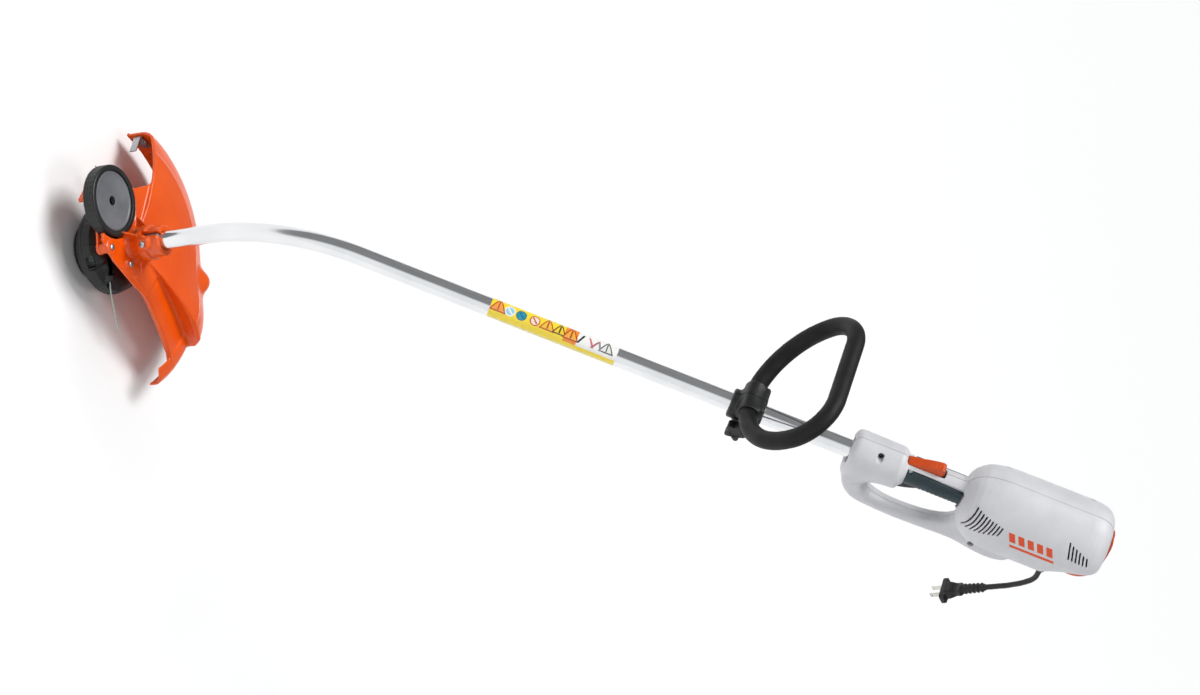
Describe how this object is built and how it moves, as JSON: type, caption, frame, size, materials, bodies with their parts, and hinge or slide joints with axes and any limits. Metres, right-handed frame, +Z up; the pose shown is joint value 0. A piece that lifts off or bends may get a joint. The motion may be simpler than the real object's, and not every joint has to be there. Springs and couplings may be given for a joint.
{
  "type": "string trimmer",
  "caption": "Corded grass trimmer with a bent metal tube, mowing head under an orange deflector, edging wheel, loop handle, and a rear motor housing with a switch handle and a short mains lead.",
  "frame": {"origin": "centre of the tap button's flat face, which is tapped on the ground, on the mowing head's spin axis", "axes": "+Z up along the head's spin axis; the tube bends towards +X, where the operator stands; -Y is the left side, which holds the clamp knob"},
  "size_m": [0.9145, 0.3, 1.2351],
  "materials": {
    "black_plastic": "moulded, satin",
    "button_black": "moulded, worn satin",
    "wheel_black": "moulded, satin",
    "orange_plastic": "moulded, glossy",
    "grey_shell": "moulded, fine texture",
    "soft_grip": "soft overmould",
    "trigger_black": "moulded, satin",
    "tube_aluminium": "drawn, clear anodised",
    "cast_aluminium": "die cast",
    "liner_white": "extruded",
    "bush_grey": "moulded",
    "steel": "machined",
    "spring_steel": "drawn",
    "zinc_steel": "zinc plated",
    "label_film": "printed film",
    "loop_soft": "soft moulded sleeve",
    "cord_black": "extruded, satin",
    "plug_black": "moulded, satin",
    "blade_metal": "nickel plated",
    "copper": "enamelled wire and copper",
    "lamination": "stacked sheet",
    "carbon": "pressed carbon",
    "brush_brass": "stamped",
    "capacitor_blue": "moulded box",
    "nylon_line": "extruded nylon"
  },
  "bodies": {
    "chassis": {"bearing_carrier": "cast_aluminium", "head_bearings": "steel", "retaining_ring": "spring_steel", "deflector": "orange_plastic", "deflector_screws": "zinc_steel", "line_blade": "steel", "blade_screw": "zinc_steel", "wheel_bracket": "orange_plastic", "wheel_axle": "steel", "shaft_tube": "tube_aluminium", "shaft_liner": "liner_white", "liner_bushes": "bush_grey", "flex_shaft": "spring_steel", "info_label": "label_film", "housing_left": "grey_shell", "housing_right": "grey_shell", "grip_cover": "soft_grip", "housing_screws": "zinc_steel", "tube_screw": "zinc_steel", "trigger_pin": "steel", "interlock_pin": "steel", "trigger_spring": "spring_steel", "power_switch": "trigger_black", "motor_stator": "lamination", "field_coils": "copper", "motor_bearings": "steel", "brush_holders": "brush_brass", "carbon_brushes": "carbon", "capacitor": "capacitor_blue", "cord_retainer": "orange_plastic", "cord_gland": "cord_black", "power_cord": "cord_black", "plug_body": "plug_black", "plug_blades": "blade_metal"},
    "head": {"spool_housing": "black_plastic", "spool_cap": "black_plastic", "line_eyelets": "zinc_steel", "cutting_line_a": "nylon_line", "cutting_line_b": "nylon_line", "head_arbor": "steel", "flex_end_lower": "steel", "spool_spring": "spring_steel"},
    "spool": {"tap_button": "button_black", "line_spool": "black_plastic", "wound_line": "nylon_line"},
    "wheel": {"edging_wheel": "wheel_black"},
    "rotor": {"armature": "lamination", "armature_windings": "copper", "commutator": "copper", "motor_shaft": "steel", "cooling_fan": "bush_grey", "shaft_coupling": "steel", "flex_end_upper": "steel"},
    "trigger": {"switch_trigger": "trigger_black"},
    "interlock": {"interlock_lever": "orange_plastic"},
    "loop": {"loop_handle": "loop_soft", "clamp_left": "black_plastic", "clamp_right": "black_plastic", "clamp_bolt": "zinc_steel"},
    "knob": {"clamp_knob": "black_plastic"}
  },
  "joints": [
    {"name": "head_spin", "type": "hinge", "parent": "chassis", "child": "head", "pos_m": [0, 0, 0.075], "axis": [0, 0, 1], "continuous": true},
    {"name": "motor_spin", "type": "hinge", "parent": "chassis", "child": "rotor", "pos_m": [0.66003, 0, 1.12087], "axis": [0.6293, 0, 0.7771], "continuous": true},
    {"name": "tap_push", "type": "slide", "parent": "head", "child": "spool", "axis": [0, 0, 1], "range_m": [0, 0.005], "stiffness_N_per_m": 900, "springref_m": -0.01, "deforming": ["spool_spring"]},
    {"name": "wheel_spin", "type": "hinge", "parent": "chassis", "child": "wheel", "pos_m": [-0.072, 0.009, 0.07], "axis": [0, 0, 1], "continuous": true},
    {"name": "trigger_pull", "type": "hinge", "parent": "chassis", "child": "trigger", "pos_m": [0.58001, 0, 1.0068], "axis": [0, 1, 0], "range_deg": [0, 8], "stiffness_Nm_per_rad": 0.8, "springref_deg": -20.05},
    {"name": "interlock_press", "type": "hinge", "parent": "chassis", "child": "interlock", "pos_m": [0.54676, 0, 1.008], "axis": [0, 1, 0], "range_deg": [0, 6], "stiffness_Nm_per_rad": 0.6, "springref_deg": -17.19},
    {"name": "loop_slide", "type": "slide", "parent": "chassis", "child": "loop", "axis": [0.6293, 0, 0.7771], "range_m": [-0.12, 0.1]},
    {"name": "knob_turn", "type": "hinge", "parent": "loop", "child": "knob", "pos_m": [0.42803, -0.027, 0.80561], "axis": [0, 1, 0], "continuous": true}
  ],
  "couplings": [
    {"joint": "motor_spin", "follows": "head_spin", "ratio": 1}
  ]
}
